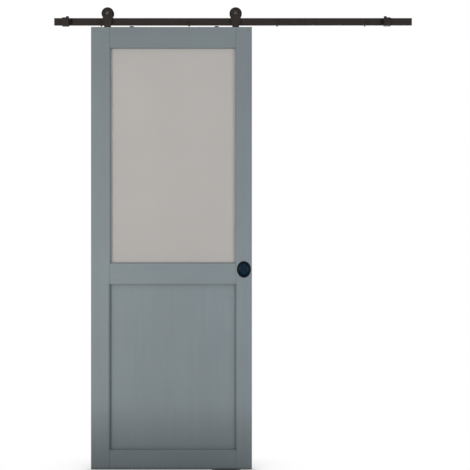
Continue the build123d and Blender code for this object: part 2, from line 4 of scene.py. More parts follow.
import bmesh
import bpy
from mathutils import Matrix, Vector


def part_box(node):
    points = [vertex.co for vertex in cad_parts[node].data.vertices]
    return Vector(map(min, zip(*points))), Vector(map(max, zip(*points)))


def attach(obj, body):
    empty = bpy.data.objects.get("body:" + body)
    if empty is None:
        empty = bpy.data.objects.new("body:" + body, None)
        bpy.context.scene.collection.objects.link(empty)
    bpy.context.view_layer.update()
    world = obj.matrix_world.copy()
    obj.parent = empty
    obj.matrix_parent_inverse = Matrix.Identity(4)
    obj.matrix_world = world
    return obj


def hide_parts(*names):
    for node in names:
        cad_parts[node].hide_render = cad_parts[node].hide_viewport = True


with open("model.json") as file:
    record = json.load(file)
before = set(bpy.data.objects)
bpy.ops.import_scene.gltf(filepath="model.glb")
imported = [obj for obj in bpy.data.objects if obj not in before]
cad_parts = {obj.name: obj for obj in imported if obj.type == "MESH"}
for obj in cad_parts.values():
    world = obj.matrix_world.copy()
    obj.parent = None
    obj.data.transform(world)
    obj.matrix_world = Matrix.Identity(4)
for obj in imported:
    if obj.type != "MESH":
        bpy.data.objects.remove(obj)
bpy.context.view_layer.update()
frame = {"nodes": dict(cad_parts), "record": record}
nodes = frame["nodes"]

# Photograph's frame in pixels, and where the leaf stands in it
IMAGE_SIDE = 470
LEAF_TOP_PIXEL = 26.9
LEAF_FOOT_PIXEL = 469.4
LEAF_MIDDLE_PIXEL = 171.45

# Camera: metres in front of the leaf, width of its sensor in millimetres, and how far it sees
CAMERA_DISTANCE = 4.0
SENSOR = 36.0
CAMERA_REACH = 50.0

# Area lamps: place beside and above the middle of the leaf, depth behind the face of the wall (less
# than 0 in the room), height above the middle of the leaf that each is aimed at, size, power, colour
LAMPS = {
    "key": {
        "beside": -2.1,
        "depth": -2.6,
        "above": -0.5,
        "aim_above": -0.5,
        "size": (1.2, 1.4),
        "power": 48.0,
        "colour": (1.0, 1.0, 0.98),
    },
    "fill": {
        "beside": 2.0,
        "depth": -2.2,
        "above": -0.5,
        "aim_above": -0.5,
        "size": (1.0, 1.0),
        "power": 22.0,
        "colour": (0.95, 0.98, 1.0),
    },
    "rear": {
        "beside": 1.4,
        "depth": 2.8,
        "above": 0.2,
        "aim_above": 0.0,
        "size": (1.4, 1.4),
        "power": 34.0,
        "colour": (1.0, 1.0, 0.98),
    },
}

# Surroundings: white that the camera sees, and the pale light on everything else
WHITE = (1, 1, 1, 1)
SKY = (0.97, 0.985, 1, 1)
SKY_STRENGTH = 0.44

# Floor: half its side, and its two tones where light falls on it
FLOOR_HALF = 3.0
FLOOR_DULL = (0.72, 0.72, 0.71, 1)
FLOOR_BRIGHT = (0.78, 0.78, 0.77, 1)

# Shade on the floor round the foot of the leaf: how far off the leaf still covers the floor, the
# openness at which the shade starts and is full, the distances from the leaf at which it is whole
# and gone, and how much of the white it takes away
SHADE_REACH = 0.3
SHADE_OPENNESS = (0.97, 0.6)
SHADE_NEAR = 0.15
SHADE_FAR = 0.33
SHADE_SHARE = 0.65

# Card that keeps the lamps off the foot of the leaf
CARD_FORWARD = 0.65
CARD_HEIGHT = 0.225
CARD_BESIDE = 0.8
CARD_BLACK = (0.02, 0.02, 0.02, 1)

# Paint: how dark the painted shade along its edges is, and the height and strength of the darker band
# along its foot
EDGE_SHADE = 0.75
FOOT_BAND_HEIGHT = 0.012
FOOT_BAND_SHARE = 0.8

# Glass: its tone at the foot and at the top, painted light that makes it paler upwards, and the share
# of the light that comes through it
GLASS_LIGHT_SLOPE = (0.95, 1.12)
GLASS_CLEAR = 0.2
GLASS_IOR = 1.5

# Depth of the pull's dish at which its blue starts and is full, behind the face of the rim
DISH_START = 0.0015
DISH_FULL = 0.006

# Rings that a lathe leaves on the wheels: radians of a sine wave for each metre of radius
LATHE_RINGS = 9000.0

# Values between which noise mostly lies, and two ranges within them that draw its contrast out
NOISE_RANGE = (0.3, 0.7)
TONE_RANGE = (0.35, 0.65)
UNEVEN_RANGE = (0.35, 0.7)

# Screws: span, width and depth of the block that cuts each arm of the cross recess, as shares of the
# head's diameter, with half of the depth above the head; turn of the cross in radians; start of the
# thread as a share of the length; pitch of the thread
RECESS_SPAN = 0.58
RECESS_WIDTH = 0.15
RECESS_DEPTH = 0.5
RECESS_TURN = 0.11
THREAD_START = 0.45
SCREW_PITCH = 0.0016

# Screws: shank radius of each kind and length of their points, as in the CAD solids. The guide's
# screws have the radius of their stretch in the floor
HANGER_SCREW_SHANK = 0.002
DISC_SCREW_SHANK = 0.00175
PULL_SCREW_SHANK = 0.00125
GUIDE_SCREW_SHANK = 0.0022
SCREW_POINT = 0.005

# Screws: small end of the head and wide end of the point as a share of the shank, height in the head
# at which the shank starts as a share of it, and radius of the blunt end
CORE_SHARE = 0.97
HEAD_OVERLAP = 0.6
POINT_BLUNT = 0.0002

# Thread of the wall bolts: core radius, pitch, start behind the face of the wall, bare end
BOLT_CORE = 0.0038
BOLT_PITCH = 0.0026
BOLT_THREAD_START = 0.003
BOLT_BARE_END = 0.009

# Distance within which the corners of a CAD mesh are one
MERGE_DISTANCE = 1e-6

# Roundness: sides of a screw, steps in a turn of thread, and size of its ridge as a share of its pitch
ROUND_SIDES = 40
RIDGE_STEPS = 20
RIDGE_SHARE = 0.24

# Finishes, as linear colours
PAINT = (0.232, 0.268, 0.286, 1)
PAINT_WORN = (0.33, 0.345, 0.35, 1)
# Dark tone of the paint, for the painted shade along its edges and in its corners, and for the darker
# band along its foot
PAINT_DARK = (0.095, 0.1, 0.1, 1)
BLACK_COAT = (0.029, 0.0208, 0.017, 1)
BLACK_COAT_WORN = (0.07, 0.058, 0.05, 1)
# Painted shade in the corners and recesses of the black coat
COAT_SHADE = (0.006, 0.005, 0.0045, 1)
BURNISHED = (0.2, 0.18, 0.165, 1)
NYLON = (0.016, 0.014, 0.013, 1)
NYLON_WORN = (0.05, 0.046, 0.042, 1)
RUBBER = (0.006, 0.005, 0.005, 1)
ENAMEL_RIM = (0.001, 0.004, 0.006, 1)
ENAMEL_DISH = (0.001, 0.018, 0.038, 1)
ENAMEL_WORN = (0.04, 0.065, 0.08, 1)
ZINC = (0.7, 0.7, 0.68, 1)
FOAM = (0.26, 0.25, 0.24, 1)
PINE = (0.6, 0.42, 0.24, 1)
PINE_RING = (0.4, 0.24, 0.12, 1)
GLASS = (0.578, 0.546, 0.521, 1)


# Node building

def add_node(tree, kind, settings=None, **inputs):
    """Adds a node, sets its properties, and fills its inputs with values or links."""
    node = tree.nodes.new(kind)
    for name, value in (settings or {}).items():
        setattr(node, name, value)
    for name, value in inputs.items():
        fill(tree, node, name.replace("_", " "), value)
    return node


def fill(tree, node, name, value):
    """Sets one input of a node by its name or number, or links another node's output to it."""
    socket = node.inputs[int(name)] if name.isdigit() else node.inputs[name]
    if isinstance(value, bpy.types.NodeSocket):
        tree.links.new(value, socket)
    else:
        socket.default_value = value


def new_group(name, kind, inputs, outputs):
    """Node group with named sockets: (name, socket type, default) in, (name, socket type) out."""
    group = bpy.data.node_groups.new(name, kind)
    for label, socket_type, value in inputs:
        socket = group.interface.new_socket(label, in_out="INPUT", socket_type=socket_type)
        if value is not None:
            socket.default_value = value
    for label, socket_type in outputs:
        group.interface.new_socket(label, in_out="OUTPUT", socket_type=socket_type)
    return group, group.nodes.new("NodeGroupInput"), group.nodes.new("NodeGroupOutput")


def maths(tree, operation, first, second=0.0, third=None, clamp=False):
    """One step of arithmetic on values or links."""
    node = tree.nodes.new("ShaderNodeMath")
    node.operation = operation
    node.use_clamp = clamp
    fill(tree, node, "0", first)
    fill(tree, node, "1", second)
    if third is not None:
        fill(tree, node, "2", third)
    return node.outputs[0]


def mix_colour(tree, amount, first, second, blend="MIX"):
    """First colour turned towards the second, or multiplied by it."""
    node = tree.nodes.new("ShaderNodeMix")
    node.data_type = "RGBA"
    node.blend_type = blend
    fill(tree, node, "0", amount)
    fill(tree, node, "6", first)
    fill(tree, node, "7", second)
    return node.outputs[2]


def toned(tree, colour, tone):
    """Colour made lighter or darker by a tone."""
    shade = add_node(tree, "ShaderNodeCombineColor", Red=tone, Green=tone, Blue=tone)
    return mix_colour(tree, 1.0, colour, shade.outputs["Color"], "MULTIPLY")


def noise(tree, place, scale, detail=4.0, roughness=0.55, stretch=None):
    """Noise over a piece's own coordinates, stretched along one of its axes where asked."""
    if stretch:
        mapping = add_node(tree, "ShaderNodeMapping", Vector=place, Scale=stretch)
        place = mapping.outputs["Vector"]
    node = add_node(tree, "ShaderNodeTexNoise", Vector=place, Scale=scale)
    fill(tree, node, "Detail", detail)
    fill(tree, node, "Roughness", roughness)
    return node.outputs[0]


def remap(tree, value, source, result=(0.0, 1.0)):
    """Value carried from one range to another, and held at the ends of it."""
    node = add_node(tree, "ShaderNodeMapRange", Value=value, From_Min=source[0], From_Max=source[1])
    fill(tree, node, "To Min", result[0])
    fill(tree, node, "To Max", result[1])
    return node.outputs["Result"]


# Places read from the frame

def leaf_box():
    """Lowest and highest corner of the leaf, from its two stiles."""
    low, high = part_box("stile_left")
    right_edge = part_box("stile_right")[1].x
    return low, Vector((right_edge, high.y, high.z))


def centre_of(node):
    """Middle of a CAD node's box."""
    low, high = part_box(node)
    return (low + high) / 2


# Effects that several finishes share

def edge_wear_and_shade_group():
    """Masks of the outer edges: the whole edge, which the satin paint darkens as painted shade, and the
    edge broken up by noise so that it looks rubbed by hand.
    """
    group, given, out = new_group(
        "edge_wear_and_shade",
        "ShaderNodeTree",
        [
            ("Vector", "NodeSocketVector", None),
            ("Width", "NodeSocketFloat", 0.002),
            ("Breakup Scale", "NodeSocketFloat", 60.0),
            ("Amount", "NodeSocketFloat", 0.6),
        ],
        [("Edge", "NodeSocketFloat"), ("Rubbed", "NodeSocketFloat")],
    )
    bevel = add_node(group, "ShaderNodeBevel", {"samples": 6}, Radius=given.outputs["Width"])
    geometry = group.nodes.new("ShaderNodeNewGeometry")
    turn = add_node(group, "ShaderNodeVectorMath", {"operation": "DOT_PRODUCT"})
    group.links.new(bevel.outputs["Normal"], turn.inputs[0])
    group.links.new(geometry.outputs["Normal"], turn.inputs[1])
    bent = maths(group, "SUBTRACT", 1.0, turn.outputs["Value"])
    edge = remap(group, bent, (0.01, 0.2))
    scale = given.outputs["Breakup Scale"]
    spots = noise(group, given.outputs["Vector"], scale, detail=6.0, roughness=0.65)
    patches = remap(group, spots, (0.45, 0.62))
    rubbed = maths(group, "MULTIPLY", edge, patches)
    rubbed = maths(group, "MULTIPLY", rubbed, given.outputs["Amount"], clamp=True)
    group.links.new(edge, out.inputs["Edge"])
    group.links.new(rubbed, out.inputs["Rubbed"])
    return group


def corner_shade_group():
    """Mask of corners and recesses, where shade is painted, broken into patches by noise."""
    group, given, out = new_group(
        "corner_shade",
        "ShaderNodeTree",
        [
            ("Vector", "NodeSocketVector", None),
            ("Reach", "NodeSocketFloat", 0.012),
            ("Amount", "NodeSocketFloat", 0.5),
        ],
        [("Corner Shade", "NodeSocketFloat")],
    )
    corner = add_node(group, "ShaderNodeAmbientOcclusion", {"samples": 6})
    fill(group, corner, "Distance", given.outputs["Reach"])
    closed = maths(group, "SUBTRACT", 1.0, corner.outputs["AO"])
    clouds = noise(group, given.outputs["Vector"], scale=25.0)
    patches = remap(group, clouds, (0.25, 0.7), (0.6, 1.0))
    corner_shade = maths(group, "MULTIPLY", closed, patches)
    corner_shade = maths(group, "MULTIPLY", corner_shade, given.outputs["Amount"], clamp=True)
    group.links.new(corner_shade, out.inputs["Corner Shade"])
    return group


def brushwork_group():
    """Brush marks drawn out along one direction, with the slow change of tone of a painted surface."""
    group, given, out = new_group(
        "brushwork",
        "ShaderNodeTree",
        [
            ("Vector", "NodeSocketVector", None),
            ("Stroke", "NodeSocketVector", (1.0, 1.0, 0.03)),
        ],
        [("Tone", "NodeSocketFloat"), ("Relief", "NodeSocketFloat")],
    )
    stretched = add_node(group, "ShaderNodeMapping", Vector=given.outputs["Vector"])
    group.links.new(given.outputs["Stroke"], stretched.inputs["Scale"])
    place = stretched.outputs["Vector"]
    strokes = noise(group, place, scale=220.0, detail=5.0, roughness=0.6)
    broad = noise(group, place, scale=45.0, detail=3.0, roughness=0.5)
    slow = noise(group, given.outputs["Vector"], scale=3.2, detail=3.0, roughness=0.5)
    peel = noise(group, given.outputs["Vector"], scale=900.0, detail=2.0, roughness=0.5)
    tone = maths(group, "MULTIPLY_ADD", strokes, 0.35, maths(group, "MULTIPLY", broad, 0.3))
    tone = maths(group, "MULTIPLY_ADD", slow, 0.35, tone)
    relief = maths(group, "MULTIPLY_ADD", strokes, 0.6, maths(group, "MULTIPLY", peel, 0.25))
    group.links.new(tone, out.inputs["Tone"])
    group.links.new(relief, out.inputs["Relief"])
    return group


def sprayed_coat_group():
    """Fine grain of a sprayed coat: a height, and a value that varies its gloss."""
    group, given, out = new_group(
        "sprayed_coat",
        "ShaderNodeTree",
        [("Vector", "NodeSocketVector", None), ("Grain", "NodeSocketFloat", 900.0)],
        [("Height", "NodeSocketFloat"), ("Gloss", "NodeSocketFloat")],
    )
    grain_scale = given.outputs["Grain"]
    grain = noise(group, given.outputs["Vector"], grain_scale, detail=3.0, roughness=0.6)
    cloud = noise(group, given.outputs["Vector"], scale=30.0, detail=4.0, roughness=0.6)
    gloss = maths(group, "MULTIPLY_ADD", grain, 0.5, maths(group, "MULTIPLY", cloud, 0.5))
    group.links.new(grain, out.inputs["Height"])
    group.links.new(gloss, out.inputs["Gloss"])
    return group


EDGE_WEAR_AND_SHADE = edge_wear_and_shade_group()
CORNER_SHADE = corner_shade_group()
BRUSHWORK = brushwork_group()
SPRAYED_COAT = sprayed_coat_group()


# Finishes

def new_finish(name):
    """Empty material: its tree, its object coordinates and its shader."""
    material = bpy.data.materials.new(name)
    material.use_nodes = True
    tree = material.node_tree
    tree.nodes.clear()
    shader = tree.nodes.new("ShaderNodeBsdfPrincipled")
    output = tree.nodes.new("ShaderNodeOutputMaterial")
    tree.links.new(shader.outputs["BSDF"], output.inputs["Surface"])
    place = tree.nodes.new("ShaderNodeTexCoord").outputs["Object"]
    return material, tree, place, shader


def use_group(tree, group, **inputs):
    """Places a shared effect in a material and returns its outputs."""
    node = tree.nodes.new("ShaderNodeGroup")
    node.node_tree = group
    for name, value in inputs.items():
        fill(tree, node, name.replace("_", " "), value)
    return node.outputs


def bump(tree, shader, height, distance, strength):
    """Relief on the surface from a height, with its full depth in metres."""
    node = add_node(tree, "ShaderNodeBump", Height=height, Distance=distance, Strength=strength)
    tree.links.new(node.outputs["Normal"], shader.inputs["Normal"])


def satin_paint(name, stroke):
    """Brushed satin paint on timber, with its strokes along the grain."""
    material, tree, place, shader = new_finish(name)
    brush = use_group(tree, BRUSHWORK, Vector=place, Stroke=stroke)
    edge_masks = use_group(tree, EDGE_WEAR_AND_SHADE, Vector=place, Width=0.0045, Breakup_Scale=45.0, Amount=0.2)
    corner_shade = use_group(tree, CORNER_SHADE, Vector=place, Reach=0.028, Amount=0.6)
    tone = remap(tree, brush["Tone"], TONE_RANGE, (0.94, 1.05))
    colour = toned(tree, PAINT, tone)
    # Painted shade: a dark line along the edges
    edge = maths(tree, "MULTIPLY", edge_masks["Edge"], EDGE_SHADE)
    colour = mix_colour(tree, edge, colour, PAINT_DARK)
    # Darker band along the foot of the leaf, broken up by noise
    foot = leaf_box()[0].z
    parts = add_node(tree, "ShaderNodeSeparateXYZ", Vector=place)
    foot_band = remap(tree, parts.outputs["Z"], (foot + FOOT_BAND_HEIGHT, foot), (0.0, FOOT_BAND_SHARE))
    breaks = remap(tree, noise(tree, place, scale=14.0), (0.2, 0.6), (0.6, 1.0))
    foot_band = maths(tree, "MULTIPLY", foot_band, breaks)
    colour = mix_colour(tree, foot_band, colour, PAINT_DARK)
    colour = mix_colour(tree, edge_masks["Rubbed"], colour, PAINT_WORN)
    # Painted shade: darker lines in the corners of the recesses round the glass and the panel
    colour = mix_colour(tree, corner_shade["Corner Shade"], colour, PAINT_DARK)
    fill(tree, shader, "Base Color", colour)
    fill(tree, shader, "Roughness", remap(tree, brush["Tone"], NOISE_RANGE, (0.44, 0.56)))
    bump(tree, shader, brush["Relief"], distance=0.00012, strength=0.5)
    return material


def coated_steel():
    """Black powder coated steel, rubbed paler at its edges, with painted shade in its corners."""
    material, tree, place, shader = new_finish("black_powder_coat")
    coat = use_group(tree, SPRAYED_COAT, Vector=place, Grain=900.0)
    edge_masks = use_group(tree, EDGE_WEAR_AND_SHADE, Vector=place, Width=0.0012, Breakup_Scale=120.0, Amount=0.8)
    corner_shade = use_group(tree, CORNER_SHADE, Vector=place, Reach=0.006, Amount=0.4)
    base = toned(tree, BLACK_COAT, remap(tree, coat["Gloss"], TONE_RANGE, (0.82, 1.2)))
    base = mix_colour(tree, edge_masks["Rubbed"], base, BLACK_COAT_WORN)
    # Painted shade in the corners and recesses
    base = mix_colour(tree, corner_shade["Corner Shade"], base, COAT_SHADE)
    fill(tree, shader, "Base Color", base)
    fill(tree, shader, "Roughness", remap(tree, coat["Gloss"], NOISE_RANGE, (0.42, 0.58)))
    fill(tree, shader, "Specular IOR Level", 0.35)
    bump(tree, shader, coat["Height"], distance=0.0001, strength=0.8)
    return material


def turned_nylon(name, centre):
    """Wheel nylon, with the fine rings that a lathe leaves about its axle."""
    material, tree, place, shader = new_finish(name)
    mapping = add_node(tree, "ShaderNodeMapping", Vector=place, Location=tuple(-c for c in centre))
    parts = add_node(tree, "ShaderNodeSeparateXYZ", Vector=mapping.outputs["Vector"])
    across, up = parts.outputs["X"], parts.outputs["Z"]
    squares = maths(tree, "MULTIPLY_ADD", across, across, maths(tree, "MULTIPLY", up, up))
    radius = maths(tree, "SQRT", squares)
    rings = maths(tree, "SINE", maths(tree, "MULTIPLY", radius, LATHE_RINGS))
    scuffs = noise(tree, place, scale=160.0, detail=6.0, roughness=0.65)
    edge_masks = use_group(tree, EDGE_WEAR_AND_SHADE, Vector=place, Width=0.001, Breakup_Scale=150.0, Amount=0.5)
    base = toned(tree, NYLON, remap(tree, scuffs, UNEVEN_RANGE, (0.75, 1.3)))
    base = mix_colour(tree, edge_masks["Rubbed"], base, NYLON_WORN)
    fill(tree, shader, "Base Color", base)
    fill(tree, shader, "Roughness", remap(tree, scuffs, NOISE_RANGE, (0.38, 0.6)))
    fill(tree, shader, "Specular IOR Level", 0.35)
    height = maths(tree, "MULTIPLY_ADD", rings, 0.25, scuffs)
    bump(tree, shader, height, distance=0.00003, strength=0.6)
    return material


def moulded_rubber(name, colour):
    """Rubber or foam with a fine grain and a pale bloom in patches."""
    material, tree, place, shader = new_finish(name)
    grain = noise(tree, place, scale=700.0, detail=4.0, roughness=0.6)
    bloom = noise(tree, place, scale=40.0, detail=4.0, roughness=0.6)
    fill(tree, shader, "Base Color", toned(tree, colour, remap(tree, bloom, UNEVEN_RANGE, (0.8, 1.6))))
    fill(tree, shader, "Roughness", remap(tree, bloom, NOISE_RANGE, (0.65, 0.85)))
    fill(tree, shader, "Specular IOR Level", 0.25)
    bump(tree, shader, grain, distance=0.00006, strength=0.5)
    return material


def satin_glass():
    """Acid etched glass, with painted light that makes it paler towards the top: light comes through
    it, and shapes behind it don't.
    """
    low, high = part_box("glass_pane")
    material, tree, place, shader = new_finish("satin_glass")
    parts = add_node(tree, "ShaderNodeSeparateXYZ", Vector=place)
    etch = noise(tree, place, scale=1400.0, detail=3.0, roughness=0.6)
    cloud = noise(tree, place, scale=4.0, detail=3.0, roughness=0.5)
    # Painted light: the glass is made paler towards its top
    light_slope = remap(tree, parts.outputs["Z"], (low.z, high.z), GLASS_LIGHT_SLOPE)
    tone = maths(tree, "MULTIPLY", light_slope, remap(tree, cloud, NOISE_RANGE, (0.985, 1.015)))
    fill(tree, shader, "Base Color", toned(tree, GLASS, tone))
    fill(tree, shader, "Roughness", remap(tree, etch, NOISE_RANGE, (0.42, 0.52)))
    fill(tree, shader, "Transmission Weight", GLASS_CLEAR)
    fill(tree, shader, "IOR", GLASS_IOR)
    bump(tree, shader, etch, distance=0.00002, strength=0.4)
    return material


def pull_enamel(rim_depth):
    """Dark gloss enamel on a casting: near black on the rim, and blue-black down in the dish."""
    material, tree, place, shader = new_finish("pull_enamel")
    flow = noise(tree, place, scale=90.0, detail=3.0, roughness=0.5)
    specks = noise(tree, place, scale=1500.0, detail=2.0, roughness=0.5)
    edge_masks = use_group(tree, EDGE_WEAR_AND_SHADE, Vector=place, Width=0.001, Breakup_Scale=200.0, Amount=0.35)
    parts = add_node(tree, "ShaderNodeSeparateXYZ", Vector=place)
    dish = remap(tree, parts.outputs["Y"], (rim_depth + DISH_START, rim_depth + DISH_FULL))
    base = mix_colour(tree, dish, ENAMEL_RIM, ENAMEL_DISH)
    base = toned(tree, base, remap(tree, flow, UNEVEN_RANGE, (0.8, 1.4)))
    base = mix_colour(tree, edge_masks["Rubbed"], base, ENAMEL_WORN)
    fill(tree, shader, "Base Color", base)
    fill(tree, shader, "Roughness", remap(tree, flow, NOISE_RANGE, (0.16, 0.26)))
    fill(tree, shader, "Specular IOR Level", 0.22)
    height = maths(tree, "MULTIPLY_ADD", specks, 0.1, flow)
    bump(tree, shader, height, distance=0.0002, strength=0.3)
    return material


def burnished_steel():
    """Oiled dark steel of the axle bolts, brightened where a key has turned them."""
    material, tree, place, shader = new_finish("burnished_steel")
    brushed = noise(tree, place, scale=800.0, detail=4.0, roughness=0.6)
    edge_masks = use_group(tree, EDGE_WEAR_AND_SHADE, Vector=place, Width=0.0009, Breakup_Scale=150.0, Amount=0.8)
    base = toned(tree, BURNISHED, remap(tree, brushed, UNEVEN_RANGE, (0.7, 1.2)))
    base = mix_colour(tree, edge_masks["Rubbed"], base, ZINC)
    fill(tree, shader, "Base Color", base)
    fill(tree, shader, "Roughness", remap(tree, brushed, NOISE_RANGE, (0.28, 0.42)))
    fill(tree, shader, "Metallic", 1.0)
    bump(tree, shader, brushed, distance=0.00003, strength=0.5)
    return material


def zinc_plate():
    """Zinc plate of the floor guide, bearings and hidden screws, with brush marks along Y."""
    material, tree, place, shader = new_finish("zinc_plate")
    brushed = noise(tree, place, scale=500.0, detail=4.0, roughness=0.6, stretch=(1.0, 0.2, 1.0))
    cloud = noise(tree, place, scale=120.0, detail=3.0, roughness=0.5)
    fill(tree, shader, "Base Color", toned(tree, ZINC, remap(tree, cloud, NOISE_RANGE, (0.75, 1.1))))
    fill(tree, shader, "Roughness", remap(tree, brushed, NOISE_RANGE, (0.25, 0.42)))
    fill(tree, shader, "Metallic", 1.0)
    bump(tree, shader, brushed, distance=0.00003, strength=0.5)
    return material


def planed_pine():
    """Bare softwood, with growth rings that run along X."""
    material, tree, place, shader = new_finish("planed_pine")
    grain = noise(tree, place, scale=60.0, detail=5.0, roughness=0.6, stretch=(0.08, 1.0, 1.0))
    pores = noise(tree, place, scale=900.0, detail=3.0, roughness=0.6, stretch=(0.1, 1.0, 1.0))
    rings = remap(tree, grain, (0.4, 0.6))
    fill(tree, shader, "Base Color", mix_colour(tree, rings, PINE, PINE_RING))
    fill(tree, shader, "Roughness", remap(tree, pores, NOISE_RANGE, (0.55, 0.75)))
    bump(tree, shader, pores, distance=0.00008, strength=0.5)
    return material


STROKES_UP = (1.0, 1.0, 0.03)
STROKES_ACROSS = (0.03, 1.0, 1.0)
paint_up = satin_paint("satin_paint_up", STROKES_UP)
paint_across = satin_paint("satin_paint_across", STROKES_ACROSS)
black_coat = coated_steel()
zinc = zinc_plate()
enamel = pull_enamel(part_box("flush_pull")[0].y)
burnished = burnished_steel()
FINISH_OF = {
    "black_steel": black_coat,
    "black_rubber": moulded_rubber("black_rubber", RUBBER),
    "grey_seal": moulded_rubber("grey_foam", FOAM),
    "satin_glass": satin_glass(),
    "pull_enamel": enamel,
    "bare_wood": planed_pine(),
    "bright_steel": zinc,
    "grey_paint": paint_up,
}
LEVEL_TIMBER = ("rail_top", "rail_middle", "rail_bottom", "glazing_bead_top", "glazing_bead_bottom")


def dress_nodes():
    """Gives every CAD node the finish of its material slot."""
    slot_of = {part["node"]: part["material_slot"] for part in frame["record"]["subparts"]}
    for name, node in nodes.items():
        finish = FINISH_OF.get(slot_of[name])
        if name in LEVEL_TIMBER:
            finish = paint_across
        if name.startswith("axle_bolt"):
            finish = burnished
        if name.startswith("wheel_"):
            finish = turned_nylon(f"turned_nylon_{name}", centre_of(name))
        for holder in node.material_slots:
            holder.material = finish


# Pieces made by geometry nodes

def solids_of(node):
    """Lowest and highest corner of each separate solid of a CAD node."""
    mesh = bmesh.new()
    mesh.from_mesh(nodes[node].data)
    bmesh.ops.remove_doubles(mesh, verts=mesh.verts, dist=MERGE_DISTANCE)
    unseen = set(mesh.verts)
    found = []
    while unseen:
        reached = [unseen.pop()]
        low = Vector((math.inf, math.inf, math.inf))
        high = -low
        while reached:
            vert = reached.pop()
            low = Vector(map(min, low, vert.co))
            high = Vector(map(max, high, vert.co))
            for edge in vert.link_edges:
                other = edge.other_vert(vert)
                if other in unseen:
                    unseen.remove(other)
                    reached.append(other)
        found.append((low, high))
    mesh.free()
    return sorted(found, key=lambda box: tuple(box[0]))


def thread_group():
    """Helical ridge about Z from height 0, as a tube with a three sided section."""
    group, given, out = new_group(
        "thread_ridge",
        "GeometryNodeTree",
        [
            ("Radius", "NodeSocketFloat", HANGER_SCREW_SHANK),
            ("Pitch", "NodeSocketFloat", SCREW_PITCH),
            ("Length", "NodeSocketFloat", 0.02),
        ],
        [("Ridge", "NodeSocketGeometry")],
    )
    turns = maths(group, "DIVIDE", given.outputs["Length"], given.outputs["Pitch"])
    spiral = add_node(group, "GeometryNodeCurveSpiral", Resolution=RIDGE_STEPS, Rotations=turns)
    fill(group, spiral, "Height", given.outputs["Length"])
    fill(group, spiral, "Start Radius", given.outputs["Radius"])
    fill(group, spiral, "End Radius", given.outputs["Radius"])
    section = add_node(group, "GeometryNodeCurvePrimitiveCircle", Resolution=3)
    fill(group, section, "Radius", maths(group, "MULTIPLY", given.outputs["Pitch"], RIDGE_SHARE))
    swept = add_node(group, "GeometryNodeCurveToMesh", Curve=spiral.outputs["Curve"])
    fill(group, swept, "Profile Curve", section.outputs["Curve"])
    fill(group, swept, "Fill Caps", True)
    group.links.new(swept.outputs["Mesh"], out.inputs["Ridge"])
    return group


def screw_group(thread):
    """Countersunk screw at each point: head at the point, shank along the turned Z, cross recess."""
    group, given, out = new_group(
        "countersunk_screws",
        "GeometryNodeTree",
        [
            ("Places", "NodeSocketGeometry", None),
            ("Head Radius", "NodeSocketFloat", 0.004),
            ("Shank Radius", "NodeSocketFloat", HANGER_SCREW_SHANK),
            ("Length", "NodeSocketFloat", 0.03),
            ("Tip Length", "NodeSocketFloat", SCREW_POINT),
            ("Pitch", "NodeSocketFloat", SCREW_PITCH),
            ("Turn", "NodeSocketVector", (0.0, 0.0, 0.0)),
            ("Finish", "NodeSocketMaterial", None),
        ],
        [("Screws", "NodeSocketGeometry")],
    )
    head_radius, shank_radius = given.outputs["Head Radius"], given.outputs["Shank Radius"]
    length, tip = given.outputs["Length"], given.outputs["Tip Length"]
    core_radius = maths(group, "MULTIPLY", shank_radius, CORE_SHARE)
    shank_end = maths(group, "SUBTRACT", length, tip)
    head_height = maths(group, "SUBTRACT", head_radius, core_radius)
    head = cone(group, head_radius, core_radius, head_height, 0.0)
    shank_start = maths(group, "MULTIPLY", head_height, HEAD_OVERLAP)
    shank_length = maths(group, "SUBTRACT", shank_end, shank_start)
    shank = cone(group, shank_radius, shank_radius, shank_length, shank_start)
    point_start = maths(group, "SUBTRACT", shank_end, POINT_BLUNT)
    point_length = maths(group, "ADD", tip, POINT_BLUNT)
    point = cone(group, core_radius, POINT_BLUNT, point_length, point_start)
    body = boolean(group, "UNION", None, head, shank, point)
    span = maths(group, "MULTIPLY", head_radius, 2 * RECESS_SPAN)
    width = maths(group, "MULTIPLY", head_radius, 2 * RECESS_WIDTH)
    depth = maths(group, "MULTIPLY", head_radius, 2 * RECESS_DEPTH)
    arms = [arm(group, span, width, depth, angle) for angle in (RECESS_TURN, RECESS_TURN + math.pi / 2)]
    body = boolean(group, "DIFFERENCE", body, *arms)
    ridge = group.nodes.new("GeometryNodeGroup")
    ridge.node_tree = thread
    ridge_start = maths(group, "MULTIPLY", length, THREAD_START)
    ridge_length = maths(group, "SUBTRACT", shank_end, ridge_start)
    fill(group, ridge, "Radius", shank_radius)
    fill(group, ridge, "Pitch", given.outputs["Pitch"])
    fill(group, ridge, "Length", ridge_length)
    lift = add_node(group, "ShaderNodeCombineXYZ", Z=ridge_start)
    raised = moved(group, ridge.outputs[0], "Translation", lift.outputs[0])
    whole = group.nodes.new("GeometryNodeJoinGeometry")
    group.links.new(body, whole.inputs[0])
    group.links.new(raised, whole.inputs[0])
    finish_instances(group, given, out, whole.outputs[0])
    return group


def finish_instances(group, given, out, shape):
    """Puts a shape at each of the given places, turned as asked, as one plain mesh with its finish."""
    placed = add_node(group, "GeometryNodeInstanceOnPoints", Points=given.outputs["Places"])
    fill(group, placed, "Instance", shape)
    turn = add_node(group, "FunctionNodeEulerToRotation", Euler=given.outputs["Turn"])
    fill(group, placed, "Rotation", turn.outputs[0])
    real = add_node(group, "GeometryNodeRealizeInstances", Geometry=placed.outputs[0])
    finished = add_node(group, "GeometryNodeSetMaterial", Geometry=real.outputs[0])
    fill(group, finished, "Material", given.outputs["Finish"])
    group.links.new(finished.outputs[0], out.inputs[0])


def moved(group, shape, way, amount):
    """Shape moved or turned by an amount."""
    node = add_node(group, "GeometryNodeTransform", Geometry=shape)
    fill(group, node, way, amount)
    return node.outputs[0]


